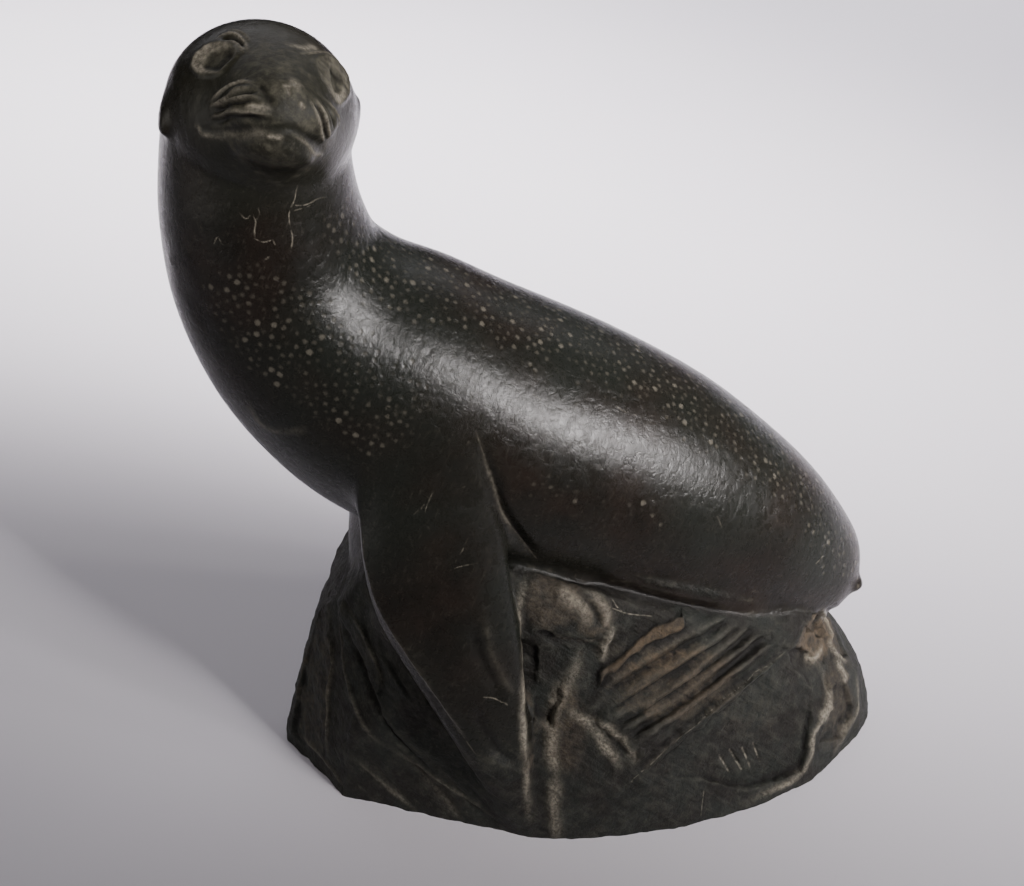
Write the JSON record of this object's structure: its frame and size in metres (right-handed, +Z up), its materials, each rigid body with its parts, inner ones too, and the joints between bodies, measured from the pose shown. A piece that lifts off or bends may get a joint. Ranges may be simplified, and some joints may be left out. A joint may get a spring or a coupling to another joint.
{
  "type": "seal figurine",
  "caption": "Seal sitting up on a rock with its head turned to the viewer, carved with the rock from one block of dark stone.",
  "frame": {"origin": "middle of the flat underside of the rock", "axes": "+Z up, +X towards the rump and -X towards the chest, -Y towards the side of the near foreflipper, which the face turns to"},
  "size_m": [0.1342, 0.0727, 0.1486],
  "materials": {
    "stone": "dark green-brown stone, hand rubbed to a soft shine on the seal and left matt and dusty in the carving and on the rock"
  },
  "bodies": {
    "root": {"seal_on_rock": "stone"}
  },
  "joints": []
}
